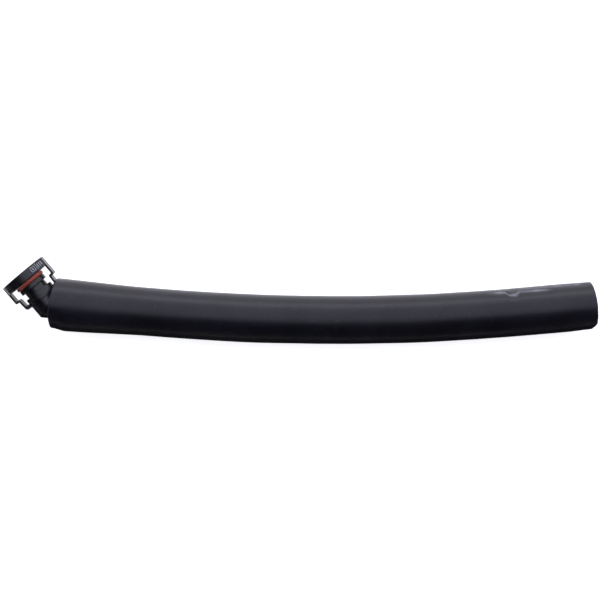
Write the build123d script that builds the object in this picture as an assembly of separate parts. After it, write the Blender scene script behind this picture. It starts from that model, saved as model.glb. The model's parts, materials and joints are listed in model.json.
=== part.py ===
from build123d import *

import math
import os

# Insulated crankcase vent hose with a squeeze-to-release elbow coupling.
# Millimetres, +Z up. The hose lies on a flat surface and bends in the plane of that surface.
# Everything is laid out from the middle of the sleeve's coupling end, then moved so that the
# origin is the bottom centre of the whole object.

# ---- Driving dimensions ----

# The sleeve's centre line, seen from above, from its coupling end to its open end.
SLEEVE_ROUTE = [
    (0.0, 0.0),
    (78.0, -7.3),
    (156.9, -11.6),
    (235.6, -12.1),
    (313.5, -8.4),
    (390.5, -1.2),
]
ARC_SHARE = 0.45            # share of the shorter run that each bend's arc takes up

# Foam sleeve
SLEEVE_BORE_RADIUS = 12.1
SLEEVE_WALL = 5.0
BULGE_STRETCH = 1.25        # how much the sleeve's radius grows over the joint with the elbow
BULGE_LENGTH = 31.0
BULGE_TAPER = 11.0
OVERHANG = 38.0             # sleeve beyond the end cuff
SLEEVE_SLIP = 0.15          # radial room between the sleeve and what it covers

# Inner hose
HOSE_BORE_RADIUS = 8.5
HOSE_WALL = 2.0

# Elbow: distances along the spigot's axis are measured from the elbow's corner
ELBOW_TURN = 45.0
ELBOW_BORE_RADIUS = 7.0
ELBOW_RADIUS = 11.0
CORNER_TO_SLEEVE = 4.2
COLLAR_START = 2.2
COLLAR_RADIUS = 12.2
STOP_START = 6.5            # hose stop flange, hidden under the sleeve
STOP_LENGTH = 2.0
TAIL_RADIUS = 8.2
TAIL_LENGTH = 28.0
BARB_COUNT = 3
BARB_PITCH = 7.5
BARB_LENGTH = 4.5

# Spigot
BASE_RIB_START = 5.3
BASE_RIB_END = 8.2
BASE_RIB_RADIUS = 11.4
NECK_START = 11.2
NECK_RADIUS = 8.6
LAND_START = 15.5
LAND_RADIUS = 10.8
GROOVE_START = 18.75
GROOVE_END = 22.05
GROOVE_RADIUS = 8.5
NOSE_TIP = 28.2
NOSE_CHAMFER = 0.9
EDGE_FILLET = min(0.4, 0.45 * (LAND_RADIUS - NECK_RADIUS))     # kept within the step it rounds

# O-ring
O_RING_SECTION = 3.0

# Squeeze ring, an oval band round the spigot
RING_FACE = 28.7
RING_HEIGHT = 6.6
RING_HALF_LENGTH = 18.0     # outer half-axis, towards the thumb pads
RING_HALF_WIDTH = 16.1      # outer half-axis, across
RING_WALL = 1.9
HINGE_AT = 5.18             # how far the pad's flex lines stand off the pad's middle
HINGE_GAP = 0.2
OPEN_HINGE_GAP = 0.35

# Arms that carry the ring
ARM_WIDTH = 8.0
ARM_THICKNESS = 1.6
ARM_DENT_ROOM = 0.6         # room round an arm's bend where it dents the foam
ARM_SPLIT = 16.0            # flex line between the moving and the fixed part of an arm
ARM_SPLIT_GAP = 0.2
SHOULDER_TOP = 15.2
SHOULDER_BOTTOM = 13.6
LEG_OUTER = 15.3
LEG_THICKNESS = 1.5
LEG_LEAN = 0.4
LEG_BEND_RADIUS = 2.6

# End cuff
CUFF_RADIUS = 11.7
PORT_BORE_RADIUS = 9.5
PORT_BORE_LENGTH = 28.0
CUFF_GRIP_LENGTH = 18.0
CUFF_CHAMFER = 0.8

# Ear clamps
CLAMP_WIDTH = 7.0
CLAMP_THICKNESS = 0.6
CLAMP_SEAT_DEPTH = 0.5      # groove for the clamp in the end cuff
EAR_WIDTH = 5.2
EAR_HEIGHT = 1.95
EAR_POCKET_ROOM = 0.4
ELBOW_CLAMP_AT = 17.0       # middle of the clamp, from the sleeve's coupling end
CUFF_CLAMP_AT = 9.0         # middle of the clamp, from the cuff's inner end

# ---- Worked-out places ----

ROUTE = [Vector(x, y, 0) for x, y in SLEEVE_ROUTE]
HOSE_DIRECTION = (ROUTE[1] - ROUTE[0]).normalized()
CORNER = ROUTE[0] - HOSE_DIRECTION * CORNER_TO_SLEEVE
SPIGOT_DIRECTION = -HOSE_DIRECTION.rotate(Axis.Z, -ELBOW_TURN)
PAD_DIRECTION = SPIGOT_DIRECTION.rotate(Axis.Z, -90)
SPIGOT_PLANE = Plane(origin=CORNER, x_dir=PAD_DIRECTION, z_dir=SPIGOT_DIRECTION)
TAIL_PLANE = Plane(origin=CORNER, x_dir=Vector(0, 0, 1), z_dir=HOSE_DIRECTION)

SLEEVE_RADIUS = SLEEVE_BORE_RADIUS + SLEEVE_WALL
BULGE_BORE_RADIUS = SLEEVE_BORE_RADIUS + BULGE_STRETCH
BULGE_RADIUS = SLEEVE_RADIUS + BULGE_STRETCH
HOSE_RADIUS = HOSE_BORE_RADIUS + HOSE_WALL
STOP_RADIUS = BULGE_BORE_RADIUS - SLEEVE_SLIP
HOSE_START = STOP_START + STOP_LENGTH

MID_HALF_LENGTH = RING_HALF_LENGTH - RING_WALL / 2
MID_HALF_WIDTH = RING_HALF_WIDTH - RING_WALL / 2
HINGE_OUT = MID_HALF_LENGTH * math.sqrt(1 - (HINGE_AT / MID_HALF_WIDTH) ** 2)
RING_LOW = RING_FACE - RING_HEIGHT
BEYOND = 60.0               # longer than anything it cuts


def bend_radii(points):
    """Radius of each bend, as large as its two runs allow."""
    radii = []
    for before, corner, after in zip(points, points[1:], points[2:]):
        run_in = corner - before
        run_out = after - corner
        turn = math.radians(run_in.get_angle(run_out))
        shorter = min(run_in.length, run_out.length)
        radii.append(ARC_SHARE * shorter / math.tan(turn / 2))
    return radii


def hose_line(start):
    """Centre line of the sleeve and the hose, from a distance past the sleeve's coupling end."""
    first = ROUTE[0] + HOSE_DIRECTION * start
    return FilletPolyline(first, *ROUTE[1:], radius=bend_radii(ROUTE))


SLEEVE_LINE = hose_line(0)
CUFF_MOUTH_AT = SLEEVE_LINE.length - OVERHANG
CUFF_MIDDLE_AT = CUFF_MOUTH_AT - PORT_BORE_LENGTH / 2


def line_plane(distance):
    """Plane square to the sleeve's centre line, at a distance along it."""
    share = distance / SLEEVE_LINE.length
    return Plane(
        origin=SLEEVE_LINE.position_at(share),
        x_dir=Vector(0, 0, 1),
        z_dir=SLEEVE_LINE.tangent_at(share),
    )


CUFF_PLANE = line_plane(CUFF_MIDDLE_AT).offset(PORT_BORE_LENGTH / 2)


def rod(plane, radius, start, end):
    """Solid rod along a plane's normal, between two distances from its origin."""
    length = end - start
    return plane * Pos(0, 0, start) * Cylinder(radius, length, align=(Align.CENTER, Align.CENTER, Align.MIN))


def taper(plane, radius_at_start, radius_at_end, start, end):
    """Solid cone frustum along a plane's normal."""
    length = end - start
    cone = Cone(radius_at_start, radius_at_end, length, align=(Align.CENTER, Align.CENTER, Align.MIN))
    return plane * Pos(0, 0, start) * cone


def swept_rod(line, radius):
    """Solid rod along the hose's centre line."""
    start_plane = Plane(origin=line @ 0, z_dir=line % 0)
    return sweep(start_plane * Circle(radius), path=line)


# ---- Elbow fitting ----

def spigot_body():
    """Spigot, neck and first leg of the elbow, running past its corner."""
    body = rod(SPIGOT_PLANE, ELBOW_RADIUS, -BEYOND, NECK_START)
    body += rod(SPIGOT_PLANE, BASE_RIB_RADIUS, BASE_RIB_START, BASE_RIB_END)
    body += rod(SPIGOT_PLANE, NECK_RADIUS, NECK_START, LAND_START)
    body += rod(SPIGOT_PLANE, LAND_RADIUS, LAND_START, GROOVE_START)
    body += rod(SPIGOT_PLANE, GROOVE_RADIUS, GROOVE_START, GROOVE_END)
    body += rod(SPIGOT_PLANE, LAND_RADIUS, GROOVE_END, NOSE_TIP - NOSE_CHAMFER)
    body += taper(SPIGOT_PLANE, LAND_RADIUS, LAND_RADIUS - NOSE_CHAMFER, NOSE_TIP - NOSE_CHAMFER, NOSE_TIP)
    return body


def barbed_tail():
    """Second leg of the elbow, with its collar, hose stop and barbs."""
    tail_end = HOSE_START + TAIL_LENGTH
    tail = rod(TAIL_PLANE, ELBOW_RADIUS, -BEYOND, COLLAR_START)
    tail += rod(TAIL_PLANE, COLLAR_RADIUS, COLLAR_START, STOP_START)
    tail += rod(TAIL_PLANE, STOP_RADIUS, STOP_START, HOSE_START)
    tail += rod(TAIL_PLANE, TAIL_RADIUS, HOSE_START, tail_end)
    for index in range(BARB_COUNT):
        barb_end = tail_end - index * BARB_PITCH
        tail += taper(TAIL_PLANE, HOSE_BORE_RADIUS, TAIL_RADIUS, barb_end - BARB_LENGTH, barb_end)
    return tail


def mitre(spigot_side, tail_side):
    """Two legs cut on the elbow's mitre plane and joined."""
    mitre_plane = Plane(origin=CORNER, x_dir=Vector(0, 0, 1), z_dir=SPIGOT_DIRECTION - HOSE_DIRECTION)
    first = split(spigot_side, bisect_by=mitre_plane, keep=Keep.TOP)
    second = split(tail_side, bisect_by=mitre_plane, keep=Keep.BOTTOM)
    return first + second


def arm_outline(points, side):
    """Outline in the plane of the two arms, as a strap of the arms' width on one side."""
    arms_plane = Plane(origin=CORNER, x_dir=PAD_DIRECTION, z_dir=PAD_DIRECTION.cross(SPIGOT_DIRECTION))
    outline = Polyline(*[(side * out, along) for out, along in points], close=True)
    return extrude(arms_plane * make_face(outline), amount=ARM_WIDTH / 2, both=True)


def fixed_leg(side):
    """Fixed part of an arm: stub, shoulder, leg and the bend that joins it to the elbow."""
    inner = LEG_OUTER - LEG_THICKNESS
    root_at = NECK_RADIUS
    leg = arm_outline(
        [
            (RING_HALF_LENGTH, ARM_SPLIT),
            (RING_HALF_LENGTH, SHOULDER_BOTTOM),
            (LEG_OUTER, SHOULDER_BOTTOM),
            (LEG_OUTER - LEG_LEAN, BASE_RIB_START),
            (root_at, BASE_RIB_START),
            (root_at, BASE_RIB_END),
            (inner - LEG_LEAN, BASE_RIB_END),
            (inner, SHOULDER_TOP),
            (RING_HALF_LENGTH - ARM_THICKNESS, SHOULDER_TOP),
            (RING_HALF_LENGTH - ARM_THICKNESS, ARM_SPLIT),
        ],
        side,
    )
    return round_leg(leg, side)


def round_leg(leg, side):
    """Rounds the bend at the foot of a leg and the shoulder's two corners."""
    corners = [
        (LEG_OUTER - LEG_LEAN, BASE_RIB_START, LEG_BEND_RADIUS),
        (LEG_OUTER - LEG_THICKNESS - LEG_LEAN, BASE_RIB_END, LEG_THICKNESS / 2),
        (RING_HALF_LENGTH, SHOULDER_BOTTOM, ARM_THICKNESS / 2),
        (LEG_OUTER - LEG_THICKNESS, SHOULDER_TOP, LEG_THICKNESS / 2),
    ]
    for out, along, radius in corners:
        corner = CORNER + PAD_DIRECTION * (side * out) + SPIGOT_DIRECTION * along
        edge = leg.edges().filter_by(Axis.Z).sort_by_distance(corner)[0]
        leg = fillet(edge, radius)
    return leg


def elbow_fitting():
    body = mitre(spigot_body(), barbed_tail())
    for side in (-1, 1):
        body += fixed_leg(side)
    bore_end = HOSE_START + TAIL_LENGTH + BEYOND
    passage = mitre(
        rod(SPIGOT_PLANE, ELBOW_BORE_RADIUS, -BEYOND, NOSE_TIP + BEYOND),
        rod(TAIL_PLANE, ELBOW_BORE_RADIUS, -BEYOND, bore_end),
    )
    body -= passage
    rims = body.edges().filter_by(GeomType.CIRCLE)
    softened = []
    for along, radius in ((NECK_START, ELBOW_RADIUS), (LAND_START, LAND_RADIUS)):
        centre = CORNER + SPIGOT_DIRECTION * along
        for rim in rims:
            if abs(rim.radius - radius) < 0.01 and (rim.arc_center - centre).length < 0.01:
                softened.append(rim)
    return fillet(softened, EDGE_FILLET)


def o_ring():
    middle = (GROOVE_START + GROOVE_END) / 2
    section = O_RING_SECTION / 2
    return SPIGOT_PLANE * Pos(0, 0, middle) * Torus(GROOVE_RADIUS + section, section)


# ---- Squeeze ring ----

def ring_prism(face):
    """Flat face in the ring's plane, made as tall as the ring."""
    return extrude(SPIGOT_PLANE.offset(RING_LOW) * face, amount=RING_HEIGHT)


def oval_band():
    outer = Ellipse(RING_HALF_LENGTH, RING_HALF_WIDTH)
    inner = Ellipse(RING_HALF_LENGTH - RING_WALL, RING_HALF_WIDTH - RING_WALL)
    return ring_prism(outer - inner)


def pivot(out, across, radius):
    """Round pivot of the ring's height on one of its flex lines."""
    return ring_prism(Pos(out, across) * Circle(radius))


def hinge_line_end(side, across_side):
    """Far point on the straight cut through a pad's flex line, square to the band."""
    slope_out = side * HINGE_OUT / MID_HALF_LENGTH ** 2
    slope_across = across_side * HINGE_AT / MID_HALF_WIDTH ** 2
    scale = BEYOND / math.hypot(slope_out, slope_across)
    return side * HINGE_OUT + slope_out * scale, across_side * HINGE_AT + slope_across * scale


def pad_wedge(side):
    """Area of the ring that belongs to one thumb pad."""
    upper = hinge_line_end(side, 1)
    lower = hinge_line_end(side, -1)
    outline = Polyline(
        (side * HINGE_OUT, HINGE_AT), upper, (side * 2 * BEYOND, upper[1]),
        (side * 2 * BEYOND, lower[1]), lower, (side * HINGE_OUT, -HINGE_AT),
        (0, -HINGE_AT), (0, HINGE_AT), close=True,
    )
    return make_face(outline)


def hinge_core(side, across_side):
    """Part of a pad's wedge that a full-round pivot takes up."""
    return pivot(side * HINGE_OUT, across_side * HINGE_AT, RING_WALL / 2)


def ring_pad(side):
    """Thumb pad: end of the oval band with the moving part of its arm."""
    pad = oval_band() & ring_prism(pad_wedge(side))
    arm_low = ARM_SPLIT + ARM_SPLIT_GAP
    strap_middle = side * (RING_HALF_LENGTH - ARM_THICKNESS / 2)
    strap = Box(ARM_THICKNESS, ARM_WIDTH, RING_FACE - arm_low, align=(Align.CENTER, Align.CENTER, Align.MIN))
    pad += SPIGOT_PLANE * Pos(strap_middle, 0, arm_low) * strap
    for across_side in (-1, 1):
        open_hinge = side * across_side < 0
        gap = OPEN_HINGE_GAP if open_hinge else HINGE_GAP
        pad -= pivot(side * HINGE_OUT, across_side * HINGE_AT, RING_WALL / 2 + gap)
    return pad


def ring_link(side, across_side):
    """Quarter of the band between a pad's flex line and the middle of the ring's long wall."""
    half = Pos(side * BEYOND / 2, across_side * BEYOND / 2) * Rectangle(BEYOND, BEYOND)
    link = oval_band() & ring_prism(half - pad_wedge(side))
    link += hinge_core(side, across_side)
    carries_apex_pivot = side * across_side > 0
    apex = (0, across_side * MID_HALF_WIDTH)
    if carries_apex_pivot:
        link += pivot(*apex, RING_WALL / 2)
    else:
        link -= pivot(*apex, RING_WALL / 2 + HINGE_GAP)
    return link


# ---- Hose, cuff, clamps and sleeve ----

def inner_hose():
    line = hose_line(HOSE_START - CORNER_TO_SLEEVE)
    hose = swept_rod(line, HOSE_RADIUS) - swept_rod(line, HOSE_BORE_RADIUS)
    end_plane = CUFF_PLANE.offset(-PORT_BORE_LENGTH)
    return split(hose, bisect_by=end_plane, keep=Keep.BOTTOM)


def end_cuff():
    length = PORT_BORE_LENGTH + CUFF_GRIP_LENGTH
    cuff = rod(CUFF_PLANE, CUFF_RADIUS, -length, -CUFF_CHAMFER)
    cuff += taper(CUFF_PLANE, CUFF_RADIUS, CUFF_RADIUS - CUFF_CHAMFER, -CUFF_CHAMFER, 0)
    cuff -= rod(CUFF_PLANE, PORT_BORE_RADIUS, -length, 0)
    cuff -= rod(CUFF_PLANE, HOSE_RADIUS, -length, -PORT_BORE_LENGTH)
    seat_middle = CUFF_CLAMP_AT - length
    seat_start = seat_middle - CLAMP_WIDTH / 2
    seat_end = seat_middle + CLAMP_WIDTH / 2
    seat = rod(CUFF_PLANE, CUFF_RADIUS + 1, seat_start, seat_end)
    seat -= rod(CUFF_PLANE, CUFF_RADIUS - CLAMP_SEAT_DEPTH, seat_start, seat_end)
    return cuff - seat


def ear_clamp(plane, radius):
    """Steel band with its pinched ear standing up from it."""
    half = CLAMP_WIDTH / 2
    band = rod(plane, radius + CLAMP_THICKNESS, -half, half) - rod(plane, radius, -half, half)
    ear_low = radius + CLAMP_THICKNESS / 2
    ear_top = radius + CLAMP_THICKNESS + EAR_HEIGHT
    low_aligned = (Align.MIN, Align.CENTER, Align.CENTER)
    loop = Box(ear_top - ear_low, EAR_WIDTH, CLAMP_WIDTH, align=low_aligned)
    eye = Box(
        ear_top - ear_low - CLAMP_THICKNESS, EAR_WIDTH - 2 * CLAMP_THICKNESS, CLAMP_WIDTH, align=low_aligned
    )
    return band + plane * Pos(ear_low, 0, 0) * (loop - eye)


def elbow_clamp():
    return ear_clamp(line_plane(ELBOW_CLAMP_AT), HOSE_RADIUS)


def cuff_clamp_plane():
    return CUFF_PLANE.offset(CUFF_CLAMP_AT - PORT_BORE_LENGTH - CUFF_GRIP_LENGTH)


def cuff_clamp():
    return ear_clamp(cuff_clamp_plane(), CUFF_RADIUS - CLAMP_SEAT_DEPTH)


def ear_pocket():
    """Room in the foam for the cuff clamp's ear."""
    ear_top = CUFF_RADIUS - CLAMP_SEAT_DEPTH + CLAMP_THICKNESS + EAR_HEIGHT
    pocket = Box(
        ear_top + EAR_POCKET_ROOM,
        EAR_WIDTH + 2 * EAR_POCKET_ROOM,
        CLAMP_WIDTH + 2 * EAR_POCKET_ROOM,
        align=(Align.MIN, Align.CENTER, Align.CENTER),
    )
    return cuff_clamp_plane() * pocket


def bulged_rod(radius):
    """Swept rod with the wider stretch over the elbow's joint."""
    wide = radius + BULGE_STRETCH
    start_plane = line_plane(0)
    rod_and_bulge = swept_rod(SLEEVE_LINE, radius)
    rod_and_bulge += rod(start_plane, wide, 0, BULGE_LENGTH)
    rod_and_bulge += taper(start_plane, wide, radius, BULGE_LENGTH, BULGE_LENGTH + BULGE_TAPER)
    return rod_and_bulge


def arm_dent():
    """Dent that the bend of the arm beside the hose presses into the sleeve's end."""
    bend_out = LEG_OUTER - LEG_LEAN - LEG_BEND_RADIUS
    bend_along = BASE_RIB_START + LEG_BEND_RADIUS
    middle = CORNER + PAD_DIRECTION * bend_out + SPIGOT_DIRECTION * bend_along
    dent = Cylinder(LEG_BEND_RADIUS + ARM_DENT_ROOM, ARM_WIDTH + 2 * ARM_DENT_ROOM)
    return Pos(middle.X, middle.Y, 0) * dent


def foam_sleeve():
    sleeve = bulged_rod(SLEEVE_RADIUS) - bulged_rod(SLEEVE_BORE_RADIUS)
    return sleeve - ear_pocket() - arm_dent()


# ---- Whole object ----

def make_parts():
    """Every node by name, with the origin at the bottom centre of the whole object."""
    parts = {
        "elbow_fitting": elbow_fitting(),
        "o_ring": o_ring(),
        "ring_pad_left": ring_pad(-1),
        "ring_pad_right": ring_pad(1),
        "ring_top_left": ring_link(-1, -1),
        "ring_top_right": ring_link(1, -1),
        "ring_bottom_left": ring_link(-1, 1),
        "ring_bottom_right": ring_link(1, 1),
        "inner_hose": inner_hose(),
        "elbow_clamp": elbow_clamp(),
        "end_cuff": end_cuff(),
        "cuff_clamp": cuff_clamp(),
        "foam_sleeve": foam_sleeve(),
    }
    box = Compound(children=[shape.solids()[0] for shape in parts.values()]).bounding_box()
    shift = Vector(-(box.min.X + box.max.X) / 2, -(box.min.Y + box.max.Y) / 2, -box.min.Z)
    return {name: shape.moved(Location(shift)) for name, shape in parts.items()}, shift


def main():
    parts, shift = make_parts()
    os.makedirs("parts", exist_ok=True)
    for name, shape in parts.items():
        export_step(shape, f"parts/{name}.step")
    print("bend radii:", [round(radius) for radius in bend_radii(ROUTE)])
    print("sleeve length:", round(SLEEVE_LINE.length, 2))
    section = math.pi * (SLEEVE_RADIUS ** 2 - SLEEVE_BORE_RADIUS ** 2)
    print("sleeve volume over section x length:", parts["foam_sleeve"].volume / (section * SLEEVE_LINE.length))
    print("origin shift:", [round(value, 3) for value in shift])


if __name__ == "__main__":
    main()
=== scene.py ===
import json
import math

import bmesh
import bpy
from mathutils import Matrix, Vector, noise


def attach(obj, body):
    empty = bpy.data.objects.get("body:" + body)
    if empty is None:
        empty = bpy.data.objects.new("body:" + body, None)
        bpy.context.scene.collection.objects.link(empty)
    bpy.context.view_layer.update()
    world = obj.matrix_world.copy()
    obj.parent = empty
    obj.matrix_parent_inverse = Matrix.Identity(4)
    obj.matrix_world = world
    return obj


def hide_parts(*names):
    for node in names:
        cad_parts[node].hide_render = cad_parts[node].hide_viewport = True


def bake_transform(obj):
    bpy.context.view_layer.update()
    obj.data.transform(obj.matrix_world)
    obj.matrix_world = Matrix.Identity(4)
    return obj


# Insulated vent hose with a squeeze-to-release elbow coupling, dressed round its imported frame.
# Metres, +Z up, the same frame as the CAD.

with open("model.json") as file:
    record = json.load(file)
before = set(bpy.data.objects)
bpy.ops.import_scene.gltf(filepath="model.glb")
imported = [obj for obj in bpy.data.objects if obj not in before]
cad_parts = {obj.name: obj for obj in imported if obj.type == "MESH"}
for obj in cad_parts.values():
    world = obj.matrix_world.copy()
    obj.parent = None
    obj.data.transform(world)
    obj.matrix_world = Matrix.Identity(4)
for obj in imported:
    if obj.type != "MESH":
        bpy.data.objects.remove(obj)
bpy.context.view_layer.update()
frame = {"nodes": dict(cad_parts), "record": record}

MM = 0.001
UP = Vector((0, 0, 1))

# ---- Sizes of the coupling ----

ELBOW_BORE_RADIUS = 7.0 * MM
ELBOW_RADIUS = 11.0 * MM
MITRE_ROUNDING = 1.8 * MM
RING_LOW = 22.1 * MM
RING_FACE = 28.7 * MM
RING_HALF_LENGTH = 18.0 * MM
RING_HALF_WIDTH = 16.1 * MM
RING_WALL = 1.9 * MM
FLEX_LINE_AT = 5.18 * MM        # how far a thumb pad's flex lines stand off the pad's middle
OPEN_END_GAP = 0.06 * MM        # room on each side of the ring's open pivots
LINK_MIDDLE = math.radians(55.0)        # turn from a thumb pad to the middle of the link beside it
ARM_WIDTH = 8.0 * MM
ARM_THICKNESS = 1.6 * MM
LEG_OUTER = 15.3 * MM
LEG_THICKNESS = 1.5 * MM
LEG_LEAN = 0.4 * MM
FOOT_LOW = 5.3 * MM
FOOT_HIGH = 8.2 * MM
SHOULDER_LOW = 13.6 * MM
SHOULDER_HIGH = 15.2 * MM
LEG_BEND_RADIUS = 2.6 * MM
NECK_RADIUS = 8.6 * MM
LAND_RADIUS = 10.8 * MM
GROOVE_RADIUS = 8.5 * MM
NOSE_TIP = 28.2 * MM
NOSE_CHAMFER = 0.9 * MM
BASE_RIB_RADIUS = 11.6 * MM
COLLAR_RADIUS = 12.2 * MM
STOP_RADIUS = 13.2 * MM         # flange that the hose is pushed up against
TAIL_RADIUS = 8.2 * MM
BARB_RADIUS = 8.5 * MM
BARB_LENGTH = 4.5 * MM
BARB_ENDS = (21.5 * MM, 29.0 * MM, 36.5 * MM)
ELBOW_SIDES = 96

# ---- Sizes of the sleeve ----

SLEEVE_RADIUS = 17.1 * MM
SLEEVE_BORE_RADIUS = 12.1 * MM
BULGE_STRETCH = 1.25 * MM
BORE_BULGE = (28.0 * MM, 42.0 * MM)     # where the bore's stretch starts to fade and where it ends
SKIN_BULGE = (4.0 * MM, 68.0 * MM)      # the same for the skin
CORNER_TO_SLEEVE = 4.2 * MM
DENT_RADIUS = 2.85 * MM         # hollow that an arm's bend presses into the coupling end
EAR_POCKET_AT = 316.3 * MM      # where the cuff clamp's ear presses into the foam
CUT_REACH = 22.0 * MM           # how far from each end a slanting cut draws the wall along
DENT_REACH = 12.0 * MM          # how far from the coupling end an arm can dent the wall
FOLDS_FROM = 312.0 * MM         # distance along the sleeve from which the mesh is fine enough for creases
SLEEVE_SIDES = 144

# Lines of the two creases near the open end, along which their highlights are painted, as (x in metres,
# degrees from +Y over the top).
LONG_FOLD = [(0.135, 20), (0.148, 24), (0.152, 36), (0.1555, 36), (0.1595, 26), (0.185, 27)]
EDGE_FOLD = [(0.1725, 7), (0.182, 11), (0.192, 14), (0.210, 14)]

# The sleeve's centre line, seen from above, from its coupling end to its open end.
SLEEVE_ROUTE = [
    (0.0, 0.0),
    (0.0780, -0.0073),
    (0.1569, -0.0116),
    (0.2356, -0.0121),
    (0.3135, -0.0084),
    (0.3905, -0.0012),
]

# ---- Places worked out from the frame ----

MOUNTS = {mount["name"]: mount for mount in frame["record"]["mounts"]}
SPIGOT_AXIS = Vector(MOUNTS["ring_catch"]["axis"]).normalized()
PAD_AXIS = SPIGOT_AXIS.cross(UP)
CORNER = Vector(MOUNTS["ring_catch"]["pos_m"]) - SPIGOT_AXIS * RING_LOW
HOSE_AXIS = Vector((*SLEEVE_ROUTE[1], 0)).normalized()
SLEEVE_START = CORNER + HOSE_AXIS * CORNER_TO_SLEEVE
MITRE_NORMAL = (SPIGOT_AXIS - HOSE_AXIS).normalized()
RING_MID_LENGTH = RING_HALF_LENGTH - RING_WALL / 2
RING_MID_WIDTH = RING_HALF_WIDTH - RING_WALL / 2
FLEX_TURN = math.asin(FLEX_LINE_AT / RING_MID_WIDTH)


# ---- Camera ----

def make_camera():
    """Camera at the photograph's angle: nearly straight down, leaning a little to the coupling's side."""
    distance = 1.0
    lean = math.radians(8.0)
    view_width = 0.4344
    data = bpy.data.cameras.new("camera")
    data.sensor_width = 36.0
    data.lens = data.sensor_width * distance / view_width
    camera = bpy.data.objects.new("camera", data)
    bpy.context.scene.collection.objects.link(camera)
    target = Vector((0, 0, SLEEVE_START.z))
    camera.location = target + Vector((0, math.sin(lean), math.cos(lean))) * distance
    camera.rotation_euler = (-lean, 0, 0)
    bpy.context.scene.camera = camera


# ---- Mesh helpers ----

def smooth_step(low, high, value):
    """0 below low, 1 above high, and a smooth rise between them."""
    share = min(max((value - low) / (high - low), 0.0), 1.0)
    return share * share * (3 - 2 * share)


def round_off(start, corner, end, share):
    """Point on the curve from start to end that rounds off the corner between them."""
    return start * (1 - share) ** 2 + corner * 2 * share * (1 - share) + end * share ** 2


def soften(corners, steps=4):
    """Closed outline of 2-D points from (x, y, radius) corners, each corner rounded off."""
    points = [Vector(corner[:2]) for corner in corners]
    outline = []
    for index, corner in enumerate(points):
        to_before = points[index - 1] - corner
        to_after = points[(index + 1) % len(points)] - corner
        reach = min(corners[index][2], 0.49 * to_before.length, 0.49 * to_after.length)
        start = corner + to_before.normalized() * reach
        end = corner + to_after.normalized() * reach
        outline += [round_off(start, corner, end, step / steps) for step in range(steps + 1)]
    return outline


def divide(outline, longest):
    """The closed outline with extra points on its long sides."""
    fine = []
    for index, point in enumerate(outline):
        following = outline[(index + 1) % len(outline)]
        pieces = max(1, math.ceil((following - point).length / longest))
        for piece in range(pieces):
            fine.append(point.lerp(following, piece / pieces))
    return fine


def inset(outline, distance):
    """The closed outline moved inwards, for one that runs anticlockwise."""
    moved = []
    for index, point in enumerate(outline):
        along = (outline[(index + 1) % len(outline)] - outline[index - 1]).normalized()
        moved.append(point + Vector((-along.y, along.x)) * distance)
    return moved


def finish_mesh(name, points, faces, crease_degrees=40.0):
    """Object with outward normals, smooth shading and sharp edges where its surface turns sharply."""
    mesh = bpy.data.meshes.new(name)
    mesh.from_pydata(points, [], faces)
    work = bmesh.new()
    work.from_mesh(mesh)
    caps = [face for face in work.faces if len(face.verts) > 4]
    bmesh.ops.triangulate(work, faces=caps)
    bmesh.ops.recalc_face_normals(work, faces=work.faces)
    work.to_mesh(mesh)
    work.free()
    mesh.shade_smooth()
    mesh.set_sharp_from_angle(angle=math.radians(crease_degrees))
    piece = bpy.data.objects.new(name, mesh)
    bpy.context.scene.collection.objects.link(piece)
    return piece


def skin(name, rings, closed):
    """Mesh between rings of equally many points. A closed one joins its last ring to its first."""
    count = len(rings[0])
    points = [point for ring in rings for point in ring]
    faces = []
    for index in range(len(rings) if closed else len(rings) - 1):
        first = index * count
        second = (index + 1) % len(rings) * count
        for side in range(count):
            beside = (side + 1) % count
            faces.append((first + side, first + beside, second + beside, second + side))
    if not closed:
        faces.append(tuple(range(count)))
        faces.append(tuple(range(len(points) - count, len(points))))
    return finish_mesh(name, points, faces)


def join(name, pieces):
    """One object from several, which keep their own closed shells."""
    with bpy.context.temp_override(
        active_object=pieces[0], selected_editable_objects=pieces, selected_objects=pieces
    ):
        bpy.ops.object.join()
    pieces[0].name = name
    pieces[0].data.name = name
    return pieces[0]


def even_shading(piece):
    """Keeps large flat faces flat in the shading, and gives the rounding to the corners."""
    weighted = piece.modifiers.new("even_shading", "WEIGHTED_NORMAL")
    weighted.keep_sharp = True
    weighted.weight = 60
    return piece


# ---- Materials ----

def new_material(name, color, roughness, specular=0.5):
    """Principled material, with its node tree, shader and object coordinates."""
    material = bpy.data.materials.new(name)
    material.use_nodes = True
    tree = material.node_tree
    shader = tree.nodes["Principled BSDF"]
    shader.inputs["Base Color"].default_value = (*color, 1)
    shader.inputs["Roughness"].default_value = roughness
    shader.inputs["Specular IOR Level"].default_value = specular
    place = tree.nodes.new("ShaderNodeTexCoord").outputs["Object"]
    return material, tree, shader, place


def noise_of(tree, place, size, detail=3.0, stretch=None):
    """Noise with features of about that size in metres, drawn out along one or more axes."""
    if stretch is not None:
        mapping = tree.nodes.new("ShaderNodeMapping")
        mapping.inputs["Scale"].default_value = stretch
        tree.links.new(place, mapping.inputs["Vector"])
        place = mapping.outputs["Vector"]
    texture = tree.nodes.new("ShaderNodeTexNoise")
    texture.inputs["Scale"].default_value = 1 / size
    texture.inputs["Detail"].default_value = detail
    tree.links.new(place, texture.inputs["Vector"])
    return texture.outputs["Fac"]


def cells_of(tree, place, size):
    """Distance to the nearest cell centre, for foam with cells of that size in metres."""
    texture = tree.nodes.new("ShaderNodeTexVoronoi")
    texture.inputs["Scale"].default_value = 1 / size
    tree.links.new(place, texture.inputs["Vector"])
    return texture.outputs["Distance"]


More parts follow.
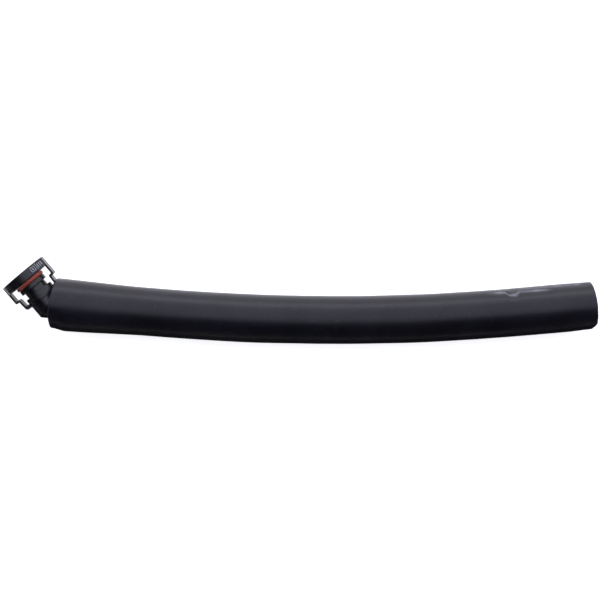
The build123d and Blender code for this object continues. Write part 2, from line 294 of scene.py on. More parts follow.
def ramp(tree, value, stops):
    """Colours along a value, as (place, colour) stops."""
    node = tree.nodes.new("ShaderNodeValToRGB")
    while len(node.color_ramp.elements) < len(stops):
        node.color_ramp.elements.new(0.5)
    for element, (place, color) in zip(node.color_ramp.elements, stops):
        element.position = place
        element.color = (*color, 1)
    tree.links.new(value, node.inputs["Fac"])
    return node.outputs["Color"]


def added(tree, first, second):
    """Sum of two colours."""
    node = tree.nodes.new("ShaderNodeVectorMath")
    node.operation = "ADD"
    tree.links.new(first, node.inputs[0])
    tree.links.new(second, node.inputs[1])
    return node.outputs["Vector"]


def spread_of(tree, value, low, high):
    """The middle of a noise value spread between two numbers."""
    node = tree.nodes.new("ShaderNodeMapRange")
    node.inputs["From Min"].default_value = 0.3
    node.inputs["From Max"].default_value = 0.7
    node.inputs["To Min"].default_value = low
    node.inputs["To Max"].default_value = high
    tree.links.new(value, node.inputs["Value"])
    return node.outputs["Result"]


def add_bump(tree, shader, heights):
    """Bumps from (value, depth in metres) pairs, one on top of the other."""
    normal = None
    for value, depth in heights:
        bump = tree.nodes.new("ShaderNodeBump")
        bump.inputs["Distance"].default_value = depth
        tree.links.new(value, bump.inputs["Height"])
        if normal is not None:
            tree.links.new(normal, bump.inputs["Normal"])
        normal = bump.outputs["Normal"]
    tree.links.new(normal, shader.inputs["Normal"])


def nylon_material():
    """Black glass-filled nylon: a fine moulded grain, faint flow streaks and a low sheen."""
    material, tree, shader, place = new_material("moulded_nylon", (0.005, 0.005, 0.007), 0.3, 0.4)
    flow = noise_of(tree, place, 4 * MM, 4.0, (1, 1, 2.5))
    grain = noise_of(tree, place, 0.22 * MM, 2.0)
    color = ramp(tree, flow, [(0.3, (0.004, 0.004, 0.005)), (0.7, (0.008, 0.008, 0.010))])
    tree.links.new(color, shader.inputs["Base Color"])
    tree.links.new(spread_of(tree, flow, 0.24, 0.36), shader.inputs["Roughness"])
    add_bump(tree, shader, [(flow, 0.05 * MM), (grain, 0.02 * MM)])
    return material


def seal_material():
    """Red-brown seal rubber with a dull bloom and moulding streaks round the ring."""
    material, tree, shader, place = new_material("seal_rubber", (0.36, 0.060, 0.035), 0.48)
    bloom = noise_of(tree, place, 1.6 * MM, 4.0)
    grain = noise_of(tree, place, 0.15 * MM, 2.0)
    color = ramp(tree, bloom, [(0.3, (0.36, 0.055, 0.034)), (0.7, (0.48, 0.105, 0.064))])
    tree.links.new(color, shader.inputs["Base Color"])
    tree.links.new(spread_of(tree, bloom, 0.42, 0.58), shader.inputs["Roughness"])
    add_bump(tree, shader, [(bloom, 0.03 * MM), (grain, 0.012 * MM)])
    return material


def foam_skin_material():
    """Smooth extruded skin of black closed-cell foam: faint long streaks, pores and a satin sheen."""
    material, tree, shader, place = new_material("foam_skin", (0.006, 0.006, 0.009), 0.4, 0.27)
    streaks = noise_of(tree, place, 6 * MM, 4.0, (0.12, 1, 1))
    patches = noise_of(tree, place, 26 * MM, 3.0)
    pores = noise_of(tree, place, 0.5 * MM, 3.0)
    dust = noise_of(tree, place, 3.5 * MM, 6.0)
    plain = ramp(tree, patches, [(0.3, (0.005, 0.005, 0.007)), (0.7, (0.009, 0.009, 0.013))])
    dusty = ramp(tree, dust, [(0.60, (0, 0, 0)), (0.80, (0.012, 0.012, 0.014))])
    # Painted highlight: the skin is paled along the creases' lines, standing in for the light that the
    # creases catch.
    wear_and_painted_highlight = tree.nodes.new("ShaderNodeAttribute")
    wear_and_painted_highlight.attribute_name = "wear_and_painted_highlight"
    highlight_paint = ramp(tree, wear_and_painted_highlight.outputs["Fac"], [(0.0, (0, 0, 0)), (1.0, (0.16, 0.16, 0.175))])
    color = added(tree, added(tree, plain, dusty), highlight_paint)
    tree.links.new(color, shader.inputs["Base Color"])
    tree.links.new(spread_of(tree, streaks, 0.30, 0.38), shader.inputs["Roughness"])
    add_bump(tree, shader, [(streaks, 0.10 * MM), (pores, 0.03 * MM)])
    return material


def foam_cut_material():
    """Cut face of the foam, where its fine cells are open."""
    material, tree, shader, place = new_material("foam_cut", (0.013, 0.013, 0.016), 0.9, 0.2)
    cells = cells_of(tree, place, 0.45 * MM)
    rough = noise_of(tree, place, 1.5 * MM, 4.0)
    color = ramp(tree, cells, [(0.1, (0.006, 0.006, 0.008)), (0.6, (0.024, 0.024, 0.029))])
    tree.links.new(color, shader.inputs["Base Color"])
    tree.links.new(spread_of(tree, rough, 0.8, 0.98), shader.inputs["Roughness"])
    add_bump(tree, shader, [(rough, 0.15 * MM), (cells, 0.15 * MM)])
    return material


def hose_material():
    """Hose rubber with the print of the cloth that it was cured in."""
    material, tree, shader, place = new_material("hose_rubber", (0.014, 0.014, 0.015), 0.6)
    weave = tree.nodes.new("ShaderNodeTexWave")
    weave.bands_direction = "DIAGONAL"
    weave.inputs["Scale"].default_value = 1 / (4 * MM)
    weave.inputs["Distortion"].default_value = 1.5
    tree.links.new(place, weave.inputs["Vector"])
    dust = noise_of(tree, place, 2.5 * MM, 4.0)
    color = ramp(tree, dust, [(0.35, (0.010, 0.010, 0.011)), (0.75, (0.024, 0.023, 0.022))])
    tree.links.new(color, shader.inputs["Base Color"])
    tree.links.new(spread_of(tree, dust, 0.5, 0.7), shader.inputs["Roughness"])
    add_bump(tree, shader, [(weave.outputs["Fac"], 0.08 * MM), (dust, 0.05 * MM)])
    return material


def cuff_material():
    """Moulded rubber of the end cuff: smooth and a little dusty."""
    material, tree, shader, place = new_material("cuff_rubber", (0.014, 0.014, 0.015), 0.55)
    dust = noise_of(tree, place, 3 * MM, 5.0)
    grain = noise_of(tree, place, 0.3 * MM, 2.0)
    color = ramp(tree, dust, [(0.35, (0.010, 0.010, 0.011)), (0.75, (0.026, 0.025, 0.024))])
    tree.links.new(color, shader.inputs["Base Color"])
    tree.links.new(spread_of(tree, dust, 0.45, 0.68), shader.inputs["Roughness"])
    add_bump(tree, shader, [(grain, 0.02 * MM)])
    return material


def steel_material():
    """Rolled stainless strip with fine scratches."""
    material, tree, shader, place = new_material("clamp_steel", (0.55, 0.55, 0.56), 0.3)
    shader.inputs["Metallic"].default_value = 1.0
    scratches = noise_of(tree, place, 0.8 * MM, 4.0, (8, 1, 1))
    color = ramp(tree, scratches, [(0.3, (0.42, 0.42, 0.43)), (0.7, (0.62, 0.62, 0.63))])
    tree.links.new(color, shader.inputs["Base Color"])
    tree.links.new(spread_of(tree, scratches, 0.22, 0.42), shader.inputs["Roughness"])
    add_bump(tree, shader, [(scratches, 0.01 * MM)])
    return material


def mark_material():
    """Pale grey pad print on the ring."""
    material, tree, shader, place = new_material("grey_print", (0.35, 0.36, 0.39), 0.6)
    wear_and_painted_highlight = noise_of(tree, place, 0.6 * MM, 4.0)
    color = ramp(tree, wear_and_painted_highlight, [(0.35, (0.11, 0.12, 0.13)), (0.6, (0.31, 0.32, 0.35))])
    tree.links.new(color, shader.inputs["Base Color"])
    add_bump(tree, shader, [(wear_and_painted_highlight, 0.01 * MM)])
    return material


# ---- Elbow ----

def mirrored(vector):
    """A direction of the spigot's leg mirrored across the elbow's mitre, into the hose's leg."""
    return vector - MITRE_NORMAL * (2 * vector.dot(MITRE_NORMAL))


def leg_ring(axis, across, along, radius, clear=0.0):
    """Ring of points round one leg of the elbow, which stays on its own side of the mitre."""
    mitre_slope = -across.dot(MITRE_NORMAL) / axis.dot(MITRE_NORMAL)
    ring = []
    for side in range(ELBOW_SIDES):
        turn = math.tau * side / ELBOW_SIDES
        out = radius * math.sin(turn)
        reach = max(along, out * mitre_slope + clear)
        ring.append(CORNER + axis * reach + across * out + UP * (radius * math.cos(turn)))
    return ring


def profile_corners(steps, radius):
    """Rounds the corners of an open profile of (along, radius) steps."""
    points = [Vector(step) for step in steps]
    rounded = [points[0]]
    for before, corner, after in zip(points, points[1:], points[2:]):
        to_before = before - corner
        to_after = after - corner
        reach = min(radius, 0.45 * to_before.length, 0.45 * to_after.length)
        start = corner + to_before.normalized() * reach
        end = corner + to_after.normalized() * reach
        rounded += [round_off(start, corner, end, step / 3) for step in range(4)]
    rounded.append(points[-1])
    return rounded


def spigot_profile():
    """Outside of the spigot from its nose down to the elbow, as (along, radius)."""
    groove_low, groove_high = 18.75 * MM, 22.05 * MM
    neck_low, neck_high = 11.2 * MM, 15.5 * MM
    return [
        (NOSE_TIP - 0.3 * MM, ELBOW_BORE_RADIUS),
        (NOSE_TIP, ELBOW_BORE_RADIUS + 0.4 * MM),
        (NOSE_TIP, LAND_RADIUS - NOSE_CHAMFER),
        (NOSE_TIP - NOSE_CHAMFER, LAND_RADIUS),
        (groove_high, LAND_RADIUS),
        (groove_high, GROOVE_RADIUS),
        (groove_low, GROOVE_RADIUS),
        (groove_low, LAND_RADIUS),
        (neck_high, LAND_RADIUS),
        (neck_high, NECK_RADIUS),
        (neck_low, NECK_RADIUS),
        (neck_low, ELBOW_RADIUS),
        (FOOT_HIGH, ELBOW_RADIUS),
        (FOOT_HIGH, BASE_RIB_RADIUS),
        (FOOT_LOW, BASE_RIB_RADIUS),
        (FOOT_LOW, ELBOW_RADIUS),
        (FOOT_LOW - 0.4 * MM, ELBOW_RADIUS),
    ]


def tail_profile():
    """Outside of the hose's leg from the elbow to the last barb, as (along, radius)."""
    collar_low = 2.2 * MM
    stop_low, stop_high = 6.5 * MM, 8.5 * MM
    steps = [
        (collar_low - 1.0 * MM, ELBOW_RADIUS),
        (collar_low, ELBOW_RADIUS),
        (collar_low, COLLAR_RADIUS),
        (stop_low, COLLAR_RADIUS),
        (stop_low, STOP_RADIUS),
        (stop_high, STOP_RADIUS),
        (stop_high, TAIL_RADIUS),
    ]
    for barb_end in BARB_ENDS:
        barb_start = barb_end - BARB_LENGTH
        steps += [(barb_start, TAIL_RADIUS), (barb_start, BARB_RADIUS), (barb_end, TAIL_RADIUS)]
    tail_end = BARB_ENDS[-1]
    return steps + [(tail_end, ELBOW_BORE_RADIUS + 0.3 * MM), (tail_end - 0.3 * MM, ELBOW_BORE_RADIUS)]


def mitre_rings(radius):
    """Rings that round off the elbow's mitre."""
    slope = -PAD_AXIS.dot(MITRE_NORMAL) / SPIGOT_AXIS.dot(MITRE_NORMAL)
    rings = []
    steps = 6
    for step in range(steps + 1):
        ring = []
        for side in range(ELBOW_SIDES):
            turn = math.tau * side / ELBOW_SIDES
            out = radius * math.sin(turn)
            upward = UP * (radius * math.cos(turn))
            middle = CORNER + SPIGOT_AXIS * (out * slope) + PAD_AXIS * out + upward
            start = middle + SPIGOT_AXIS * (MITRE_ROUNDING / 2)
            end = middle + HOSE_AXIS * (MITRE_ROUNDING / 2)
            ring.append(round_off(start, middle, end, step / steps))
        rings.append(ring)
    return rings


def elbow_body():
    """Elbow with its spigot, collar and barbed tail, as one closed shell round its gas passage."""
    tail_across = mirrored(PAD_AXIS)
    rounding = 0.3 * MM
    rings = []
    for along, radius in profile_corners(spigot_profile(), rounding):
        rings.append(leg_ring(SPIGOT_AXIS, PAD_AXIS, along, radius))
    rings += mitre_rings(ELBOW_RADIUS)
    clear = MITRE_ROUNDING / 2
    for along, radius in profile_corners(tail_profile(), rounding):
        clear += 0.03 * MM
        rings.append(leg_ring(HOSE_AXIS, tail_across, along, radius, clear))
    rings += mitre_rings(ELBOW_BORE_RADIUS)[::-1]
    return even_shading(skin("elbow_body", rings, closed=True))


# ---- Arms and ring ----

def coupling_point(out, up, along):
    """Point from its distances off the elbow's corner: to the right pad, upwards and along the spigot."""
    return CORNER + PAD_AXIS * out + UP * up + SPIGOT_AXIS * along


def arm_corners():
    """Side view of an arm as (out, along, rounding): foot, leg, shoulder and thumb strap."""
    strap_inner = RING_HALF_LENGTH - ARM_THICKNESS
    leg_inner = LEG_OUTER - LEG_THICKNESS
    root = ELBOW_RADIUS - 2.0 * MM
    return [
        (root, FOOT_LOW, 0.5 * MM),
        (LEG_OUTER - LEG_LEAN, FOOT_LOW, LEG_BEND_RADIUS),
        (LEG_OUTER, SHOULDER_LOW, 0.6 * MM),
        (RING_HALF_LENGTH, SHOULDER_LOW, 1.2 * MM),
        (RING_HALF_LENGTH, RING_FACE, 0.5 * MM),
        (strap_inner, RING_FACE, 0.5 * MM),
        (strap_inner, SHOULDER_HIGH, 0.6 * MM),
        (leg_inner, SHOULDER_HIGH, 1.2 * MM),
        (leg_inner - LEG_LEAN, FOOT_HIGH, 1.2 * MM),
        (root, FOOT_HIGH, 0.5 * MM),
    ]


def squeeze_arm(name, side):
    """Springy arm from the elbow up to its thumb strap."""
    outline = divide(soften(arm_corners()), 0.8 * MM)
    half = ARM_WIDTH / 2
    edge = 0.22 * MM
    layers = [(-half, edge), (-half + 0.3 * edge, 0.3 * edge), (-half + edge, 0.0)]
    layers += [(half - edge, 0.0), (half - 0.3 * edge, 0.3 * edge), (half, edge)]
    rings = []
    for up, inwards in layers:
        ring = inset(outline, inwards)
        rings.append([coupling_point(side * point.x, up, point.y) for point in ring])
    arm = even_shading(skin(name, rings, closed=False))
    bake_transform(arm)
    return arm


def band_point(turn, stand, along):
    """Point of the oval band: stand is its distance outside the middle of the wall."""
    out = (RING_MID_LENGTH + stand) * math.cos(turn)
    up = (RING_MID_WIDTH + stand) * math.sin(turn)
    return coupling_point(out, up, along)


def band_section(shrink):
    """Cross-section of the band as (stand, along) points."""
    half = RING_WALL / 2 - shrink
    low = RING_LOW + shrink
    high = RING_FACE - shrink
    rounding = 0.35 * MM
    places = [(-half, low), (half, low), (half, high), (-half, high)]
    return soften([(*place, rounding) for place in places], 3)


def band_rings(start, end, shrink=0.0):
    """Rings of the band from one turn to another, in radians."""
    steps = max(2, math.ceil(abs(end - start) / math.radians(1.5)))
    section = band_section(shrink)
    rings = []
    for step in range(steps + 1):
        turn = start + (end - start) * step / steps
        rings.append([band_point(turn, point.x, point.y) for point in section])
    return rings


def pad_and_link(name, side):
    """Thumb pad's part of the band with half of the link beyond its flex line."""
    up_side = -side
    pad_turn = 0.0 if side > 0 else math.pi
    free_end = pad_turn - side * up_side * (FLEX_TURN - OPEN_END_GAP / RING_MID_LENGTH)
    link_middle = pad_turn + side * up_side * LINK_MIDDLE
    piece = even_shading(skin(name, band_rings(free_end, link_middle), closed=False))
    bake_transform(piece)
    return piece


def long_wall(name, side):
    """Long wall of the ring, from the middle of a link over its top to a tongue in the far pad."""
    up_side = -side
    pad_turn = 0.0 if side > 0 else math.pi
    far_pad_turn = pad_turn + side * up_side * math.pi
    tongue_turn = math.radians(3.2)
    link_middle = pad_turn + side * up_side * LINK_MIDDLE
    open_end = far_pad_turn - side * up_side * (FLEX_TURN + OPEN_END_GAP / RING_MID_LENGTH)
    tongue_end = open_end + side * up_side * tongue_turn
    rings = band_rings(link_middle, open_end)
    rings += band_rings(open_end, tongue_end, shrink=0.14 * MM)
    piece = even_shading(skin(name, rings, closed=False))
    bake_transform(piece)
    return piece


def print_bar(start_out, end_out, low, high):
    """Thin printed bar on the outside of the band's upper wall."""
    stand = RING_WALL / 2
    thickness = 0.06 * MM
    steps = 4
    rings = []
    for step in range(steps + 1):
        out = start_out + (end_out - start_out) * step / steps
        turn = math.acos(out / RING_HALF_LENGTH)
        rings.append([
            band_point(turn, stand - thickness, low),
            band_point(turn, stand + thickness, low),
            band_point(turn, stand + thickness, high),
            band_point(turn, stand - thickness, high),
        ])
    return skin("print_bar", rings, closed=False)


def print_marks():
    """Generic frame, divider and tally bars on the ring, with no letters or numbers."""
    low = RING_LOW + 1.5 * MM
    high = RING_FACE - 1.5 * MM
    line = 0.4 * MM
    frame_start, frame_end = 8.8 * MM, 12.0 * MM
    dot_start, dot_end = 10.0 * MM, 10.8 * MM
    divider = 12.9 * MM
    bars = [
        print_bar(frame_start, frame_start + line, low, high),
        print_bar(frame_end - line, frame_end, low, high),
        print_bar(frame_start + line, frame_end - line, low, low + line),
        print_bar(frame_start + line, frame_end - line, high - line, high),
        print_bar(dot_start, dot_end, low + 1.1 * MM, high - 1.1 * MM),
        print_bar(divider, divider + line, low - 0.5 * MM, high + 0.5 * MM),
    ]
    for index in range(3):
        start = (14.0 + 1.1 * index) * MM
        bars.append(print_bar(start, start + line, low + 0.3 * index * MM, high - 0.4 * MM))
    return join("ring_print", bars)


# ---- Foam sleeve ----

def sleeve_curve():
    """Smooth centre line of the sleeve through its route."""
    data = bpy.data.curves.new("sleeve_line", "CURVE")
    data.dimensions = "3D"
    data.resolution_u = 48
    spline = data.splines.new("NURBS")
    spline.points.add(len(SLEEVE_ROUTE) - 1)
    for point, (x, y) in zip(spline.points, SLEEVE_ROUTE):
        point.co = (SLEEVE_START.x + x, SLEEVE_START.y + y, SLEEVE_START.z, 1)
    spline.order_u = 3
    spline.use_endpoint_u = True
    return data


def sleeve_line():
    """Points along the sleeve's centre line."""
    data = sleeve_curve()
    bare = bpy.data.objects.new("sleeve_line", data)
    mesh = bpy.data.meshes.new_from_object(bare)
    line = [vertex.co.copy() for vertex in mesh.vertices]
    bpy.data.objects.remove(bare)
    bpy.data.curves.remove(data)
    bpy.data.meshes.remove(mesh)
    return line


class Line:
    """Centre line that gives its point and its direction at any distance along it."""

    def __init__(self, points):
        self.points = points
        self.distances = [0.0]
        for before, after in zip(points, points[1:]):
            self.distances.append(self.distances[-1] + (after - before).length)
        self.length = self.distances[-1]

    def at(self, distance):
        """Point and unit direction. Beyond its ends the line runs on straight."""
        index = 0
        while index < len(self.points) - 2 and self.distances[index + 1] < distance:
            index += 1
        direction = (self.points[index + 1] - self.points[index]).normalized()
        return self.points[index] + direction * (distance - self.distances[index]), direction


def bore_bulge(distance):
    """How much the bore is stretched over the joint with the elbow."""
    return BULGE_STRETCH * (1 - smooth_step(*BORE_BULGE, distance))


def skin_swell(distance, turn):
    """How far the skin stands out from its plain radius. The sleeve lies a little wider than high."""
    away = max(0.0, -math.cos(turn))
    over_joint = (BULGE_STRETCH + 0.4 * MM * away) * (1 - smooth_step(*SKIN_BULGE, distance))
    tucked = 1.5 * MM * away * (1 - smooth_step(0, 10 * MM, distance))
    lying = (0.4 - 0.25 * math.cos(turn)) * math.cos(turn) ** 2 * MM
    return over_joint - tucked + lying


def start_cut(turn):
    """How far the coupling end's cut stands off square. Turns run from +Y over the top."""
    return (0.7 * math.cos(turn) - 0.15 - 1.35 * max(0.0, math.sin(turn)) ** 2) * MM


def end_cut(turn):
    """How far the open end's cut stands off square: the corner away from the light is crushed in."""
    lit_side = max(0.0, math.cos(turn)) ** 2
    crushed = smooth_step(-0.7, -1.0, math.cos(turn))
    return (-0.7 * lit_side - 2.4 * crushed) * MM


def beside_fold(x, turn, fold):
    """Arc from the line of a fold's painted highlight to a place on the sleeve, and how much fold there
    is at this x.
    """
    from_x, to_x = fold[0][0], fold[-1][0]
    if not from_x < x < to_x:
        return 0.0, 0.0
    for (start, first), (end, second) in zip(fold, fold[1:]):
        if start <= x <= end:
            middle = first + (second - first) * smooth_step(start, end, x)
    arc = SLEEVE_RADIUS * (turn - math.radians(middle))
    fade = smooth_step(from_x, from_x + 5 * MM, x) * smooth_step(to_x, to_x - 8 * MM, x)
    return arc, fade


def fold_height(x, turn, fold, height):
    """Height of one fold: a low ridge that drops off sharply towards the top of the sleeve."""
    arc, fade = beside_fold(x, turn, fold)
    from_crest = arc + 1.0 * MM
    if from_crest < 0:
        return height * fade * math.exp(-(from_crest / (2.4 * MM)) ** 2)
    drop = 1.8 * smooth_step(0, 2 * MM, from_crest)
    return height * fade * (1 - drop + 0.8 * smooth_step(2 * MM, 8 * MM, from_crest))


def creases(x, turn):
    """Height of the creases that the sleeve kept near its open end from being packed."""
    long_height = 0.4 * MM
    edge_height = 0.25 * MM
    return fold_height(x, turn, LONG_FOLD, long_height) + fold_height(x, turn, EDGE_FOLD, edge_height)


def painted_crease_highlight(x, turn):
    """Painted highlight along the creases, from 0 to 1: how far the skin is paled there."""
    highlight_paint = 0.0
    for fold in (LONG_FOLD, EDGE_FOLD):
        arc, fade = beside_fold(x, turn, fold)
        patchy = 0.8 + 0.6 * noise.noise(Vector((x / (5 * MM), turn, 3.7)))
        line = 0.75 * math.exp(-(arc / (0.6 * MM)) ** 2)
        halo = 0.25 * math.exp(-(arc / (1.6 * MM)) ** 2)
        highlight_paint = max(highlight_paint, fade * patchy * (line + halo))
    return min(highlight_paint, 1.0)


def lumps(place):
    """Slow unevenness of the foam's wall."""
    slow = noise.noise(place / (34 * MM)) * 0.16 * MM
    return slow + noise.noise(place / (9 * MM)) * 0.04 * MM


def press_dent(point):
    """Moves a point of the sleeve's end back from the bend of the arm beside it."""
    bend_out = LEG_OUTER - LEG_LEAN - LEG_BEND_RADIUS
    bend_along = FOOT_LOW + LEG_BEND_RADIUS
    centre = coupling_point(bend_out, 0, bend_along)
    offset = point - centre
    across = offset - UP * offset.z - HOSE_AXIS * offset.dot(HOSE_AXIS)
    past_arm = abs(offset.z) - ARM_WIDTH / 2
    room = DENT_RADIUS * (1 - smooth_step(0.2 * MM, 1.6 * MM, past_arm))
    if across.length >= room:
        return point
    needed = math.sqrt(room ** 2 - across.length_squared)
    lacking = needed - offset.dot(HOSE_AXIS)
    return point + HOSE_AXIS * max(0.0, lacking)


def sleeve_profile(length):
    """Section of the sleeve's wall as (distance, outside share, kind): 1 is the skin and 0 the bore."""
    start_round, end_round = 0.9 * MM, 1.3 * MM
    fine_step, coarse_step, bore_step = 0.8 * MM, 2.4 * MM, 3 * MM
    profile = []
    distance = start_round + 0.3 * MM
    while distance < length - end_round - 0.1 * MM:
        profile.append((distance, 1.0))
        fine = distance > FOLDS_FROM or distance < DENT_REACH
        distance += fine_step if fine else coarse_step
    profile += rim_profile(length, -end_round)
    for index in range(1, int(length / bore_step)):
        profile.append((length - 2 * MM - index * bore_step, 0.0))
    profile += rim_profile(0.0, start_round)[::-1]
    return profile


def rim_profile(end, rounding):
    """Profile points round the cut end, from the skin to the bore. Rounding points into the sleeve."""
    wall = SLEEVE_RADIUS - SLEEVE_BORE_RADIUS
    corner_share = abs(rounding) / wall
    points = []
    steps = 5
    for step in range(1, steps + 1):
        turn = math.pi / 2 * step / steps
        points.append((end + rounding * (1 - math.sin(turn)), 1 - corner_share * (1 - math.cos(turn))))
    face_start = 1 - corner_share
    face_end = 0.08
    for step in range(1, steps + 1):
        points.append((end, face_start + (face_end - face_start) * step / steps))
    points.append((end + rounding * 0.25, 0.02))
    return points


def sleeve_point(line, station, share, turn):
    """Point of the sleeve's wall. share is 1 on the skin and 0 in the bore."""
    near_start = 1 - smooth_step(0, CUT_REACH, station)
    near_end = smooth_step(line.length - CUT_REACH, line.length, station)
    distance = station + start_cut(turn) * near_start + end_cut(turn) * near_end
    centre, direction = line.at(distance)
    outwards = UP.cross(direction) * math.cos(turn) + UP * math.sin(turn)
    inner = SLEEVE_BORE_RADIUS + bore_bulge(distance) + pocket(distance, turn)
    outer = SLEEVE_RADIUS + skin_swell(distance, turn)
    smooth_skin = centre + outwards * outer
    shaped = lumps(smooth_skin) + creases(smooth_skin.x, turn)
    crushed = near_end * 0.5 * MM * (0.4 + 0.6 * max(0.0, -math.cos(turn)))
    outer += shaped - crushed
    radius = inner + (outer - inner) * share
    point = centre + outwards * radius
    if 0.0 < share < 1.0:
        point += direction * (noise.noise(smooth_skin / (2.2 * MM)) * 0.12 * MM)
    if station < DENT_REACH:
        point = press_dent(point)
    return point


def pocket(distance, turn):
    """Room in the bore where the cuff clamp's ear presses into the foam, at the top."""
    depth = 2.1 * MM
    beside = abs(distance - EAR_POCKET_AT)
    arc = abs(turn - math.pi / 2) * SLEEVE_BORE_RADIUS
    return depth * smooth_step(6.5 * MM, 3.6 * MM, beside) * smooth_step(5.5 * MM, 2.9 * MM, arc)


def foam_sleeve(skin_material, cut_material):
    """Foam tube with its cut ends, its bulge over the coupling and the creases it kept."""
    line = Line(sleeve_line())
    profile = sleeve_profile(line.length)
    turns = [math.tau * side / SLEEVE_SIDES for side in range(SLEEVE_SIDES)]
    rings = [[sleeve_point(line, station, share, turn) for turn in turns] for station, share in profile]
    sleeve = skin("foam_sleeve_tube", rings, closed=True)
    sleeve.data.materials.append(skin_material)
    sleeve.data.materials.append(cut_material)
    # Painted highlight along the creases, kept on the skin's points for the skin material.
    wear_and_painted_highlight = []
    for station, share in profile:
        x = line.at(station)[0].x
        wear_and_painted_highlight += [painted_crease_highlight(x, turn) if share == 1.0 else 0.0 for turn in turns]
    sleeve.data.attributes.new("wear_and_painted_highlight", "FLOAT", "POINT").data.foreach_set("value", wear_and_painted_highlight)
    cut_rings = [0.0 < share < 0.999 for _, share in profile]
    for face in sleeve.data.polygons:
        if cut_rings[face.vertices[0] // SLEEVE_SIDES] and cut_rings[face.vertices[2] // SLEEVE_SIDES]:
            face.material_index = 1
    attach(sleeve, "coupling_and_hose")
    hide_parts("foam_sleeve")


# ---- Coupling ----

def dress(piece, material):
    """Gives a piece its material."""
    piece.data.materials.append(material)


def coupling(nylon):
    """Elbow, arms and ring, in place of their plain CAD nodes."""
    elbow = elbow_body()
    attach(elbow, "coupling_and_hose")
    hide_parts("elbow_fitting")
    dress(elbow, nylon)
    for name, side, body in (("arm_left", -1, "pad_left"), ("arm_right", 1, "pad_right")):
        dress(squeeze_arm(name, side), nylon)
    left = pad_and_link("ring_left_pad_band", -1)
    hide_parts("ring_pad_left", "ring_top_left")
    top = long_wall("ring_top_wall", -1)
    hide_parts("ring_top_right")
    right = pad_and_link("ring_right_pad_band", 1)
    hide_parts("ring_pad_right", "ring_bottom_right")
    bottom = long_wall("ring_bottom_wall", 1)
    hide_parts("ring_bottom_left")
    for piece in (left, top, right, bottom):
        dress(piece, nylon)
    marks = print_marks()
    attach(marks, "top_right")
    dress(marks, mark_material())


def dress_cad_nodes():
    """Materials of the CAD pieces that stay as they are."""
    looks = {
        "o_ring": seal_material(),
        "inner_hose": hose_material(),
        "end_cuff": cuff_material(),
    }
    steel = steel_material()
    looks["elbow_clamp"] = steel
    looks["cuff_clamp"] = steel
    for node, material in looks.items():
        mesh = frame["nodes"][node].data
        mesh.materials.clear()
        mesh.materials.append(material)


# ---- Studio ----

def flat_sheet(name, low, high, height, material):
    """Level rectangle of the studio between two (x, y) corners."""
    mesh = bpy.data.meshes.new(name)
    places = [(low[0], low[1]), (high[0], low[1]), (high[0], high[1]), (low[0], high[1])]
    mesh.from_pydata([(*place, 0) for place in places], [], [(0, 1, 2, 3)])
    mesh.materials.append(material)
    sheet = bpy.data.objects.new(name, mesh)
    bpy.context.scene.collection.objects.link(sheet)
    sheet.location.z = height
    return sheet


def floor():
    """Pale floor, lit from below like a light table."""
    half = 6.0
    material, _, shader, _ = new_material("floor_white", (0.85, 0.85, 0.85), 0.9, 0.1)
    shader.inputs["Emission Color"].default_value = (1, 1, 1, 1)
    shader.inputs["Emission Strength"].default_value = 0.8
    flat_sheet("floor", (-half, -half), (half, half), -0.2 * MM, material)


def black_card():
    """Card lying beside the hose, which keeps its shaded side dark. It shows only in reflections."""
    material = new_material("card_black", (0.004, 0.004, 0.004), 0.9, 0.1)[0]
    card = flat_sheet("black_card", (-0.5, -0.5), (0.5, -0.02), -0.1 * MM, material)
    card.visible_camera = False
    card.visible_shadow = False
    card.visible_diffuse = False


def area_light(name, place, target, size, power):
    """Rectangular light at one place that faces another."""
    data = bpy.data.lights.new(name, "AREA")
    data.shape = "RECTANGLE"
    data.size, data.size_y = size
    data.energy = power
    light = bpy.data.objects.new(name, data)
    bpy.context.scene.collection.objects.link(light)
    light.location = place
    light.rotation_euler = (Vector(target) - Vector(place)).to_track_quat("-Z", "Y").to_euler()


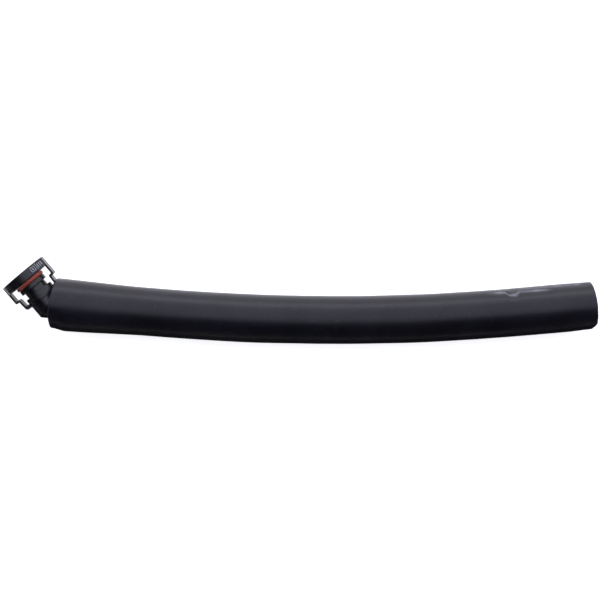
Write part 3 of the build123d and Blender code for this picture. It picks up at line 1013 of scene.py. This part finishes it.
def soft_wall():
    """Very broad soft light that fills the sky on the +Y side and leaves the other side dark.

    The backdrop that shows behind the object is plain white.
    """
    world = bpy.data.worlds.new("studio")
    world.use_nodes = True
    tree = world.node_tree
    leaning = math.radians(46.0)        # from straight up towards +Y, to the middle of the light
    dark_from = math.radians(58.0)      # off the middle of the light
    full_within = math.radians(42.0)
    dimmest, brightest = 0.01, 1.85
    direction = tree.nodes.new("ShaderNodeTexCoord").outputs["Generated"]
    facing = tree.nodes.new("ShaderNodeVectorMath")
    facing.operation = "DOT_PRODUCT"
    facing.inputs[1].default_value = (0, math.sin(leaning), math.cos(leaning))
    tree.links.new(direction, facing.inputs[0])
    edge = tree.nodes.new("ShaderNodeMapRange")
    edge.interpolation_type = "SMOOTHSTEP"
    edge.inputs["From Min"].default_value = math.cos(dark_from)
    edge.inputs["From Max"].default_value = math.cos(full_within)
    edge.inputs["To Min"].default_value = dimmest
    edge.inputs["To Max"].default_value = brightest
    tree.links.new(facing.outputs["Value"], edge.inputs["Value"])
    background = tree.nodes["Background"]
    background.inputs["Color"].default_value = (0.90, 0.91, 1.1, 1)
    tree.links.new(edge.outputs["Result"], background.inputs["Strength"])
    backdrop = tree.nodes.new("ShaderNodeBackground")
    backdrop.inputs["Color"].default_value = (1, 1, 1, 1)
    ray = tree.nodes.new("ShaderNodeLightPath")
    either = tree.nodes.new("ShaderNodeMixShader")
    tree.links.new(ray.outputs["Is Camera Ray"], either.inputs[0])
    tree.links.new(background.outputs[0], either.inputs[1])
    tree.links.new(backdrop.outputs[0], either.inputs[2])
    tree.links.new(either.outputs[0], tree.nodes["World Output"].inputs["Surface"])
    bpy.context.scene.world = world


def studio():
    """Broad soft wall of light, with a small key to draw the creases."""
    soft_wall()
    area_light("key", place=(0.1, 0.8, 0.2), target=(0.05, 0.15, 0), size=(1.6, 0.3), power=3)
    bpy.context.scene.view_settings.view_transform = "Standard"


def plain(corners):
    """Corners of a box as lists of numbers."""
    return [list(corner) for corner in corners]


make_camera()
foam_sleeve(foam_skin_material(), foam_cut_material())
coupling(nylon_material())
dress_cad_nodes()
floor()
black_card()
studio()
